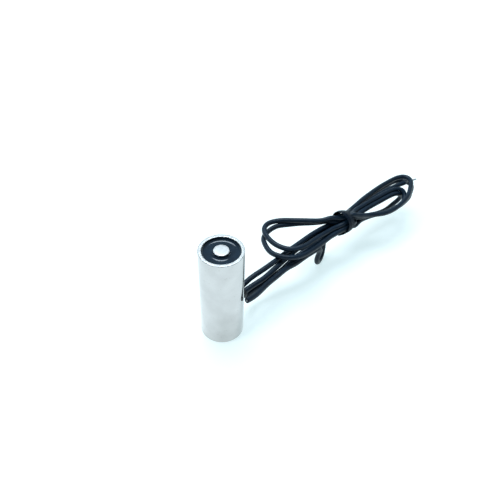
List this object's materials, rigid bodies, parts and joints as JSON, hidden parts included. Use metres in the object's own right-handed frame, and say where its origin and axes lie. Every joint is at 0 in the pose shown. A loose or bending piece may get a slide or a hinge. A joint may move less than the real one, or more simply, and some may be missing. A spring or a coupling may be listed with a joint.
{
  "type": "lifting electromagnet",
  "caption": "Slim round holding electromagnet: nickel-plated pot and central pole with a potted coil, and black flying leads tied into a hank.",
  "frame": {"origin": "centre of the back face, on the pole's axis, at the surface that the magnet stands on", "axes": "+Z along the pole's axis from the back face to the pole face, +X the way the leads leave the shell"},
  "size_m": [0.077, 0.0177, 0.025],
  "materials": {
    "nickel_plated_steel": "bright nickel plate, satin",
    "epoxy_potting": "cast, glossy",
    "pvc_lead": "extruded, soft gloss",
    "tie_ribbon": "ribbon, soft gloss",
    "grommet_rubber": "moulded, matt",
    "tinned_copper": "dipped, bright",
    "enamelled_copper": "enamelled",
    "moulded_nylon": "moulded",
    "polyester_tape": "film",
    "fibre_washer": "punched fibre",
    "sleeving": "shrunk"
  },
  "bodies": {
    "root": {"shell": "nickel_plated_steel", "pole_piece": "nickel_plated_steel", "base_washer": "fibre_washer", "bobbin": "moulded_nylon", "winding": "enamelled_copper", "coil_tape": "polyester_tape", "start_tail": "enamelled_copper", "finish_tail": "enamelled_copper", "start_joint": "tinned_copper", "finish_joint": "tinned_copper", "start_sleeve": "sleeving", "finish_sleeve": "sleeving", "chamber_potting": "epoxy_potting", "face_potting": "epoxy_potting", "lead_grommet": "grommet_rubber", "lead_a": "pvc_lead", "lead_b": "pvc_lead", "lead_hank": "pvc_lead", "lead_tip": "tinned_copper", "twist_tie": "tie_ribbon"}
  },
  "joints": []
}
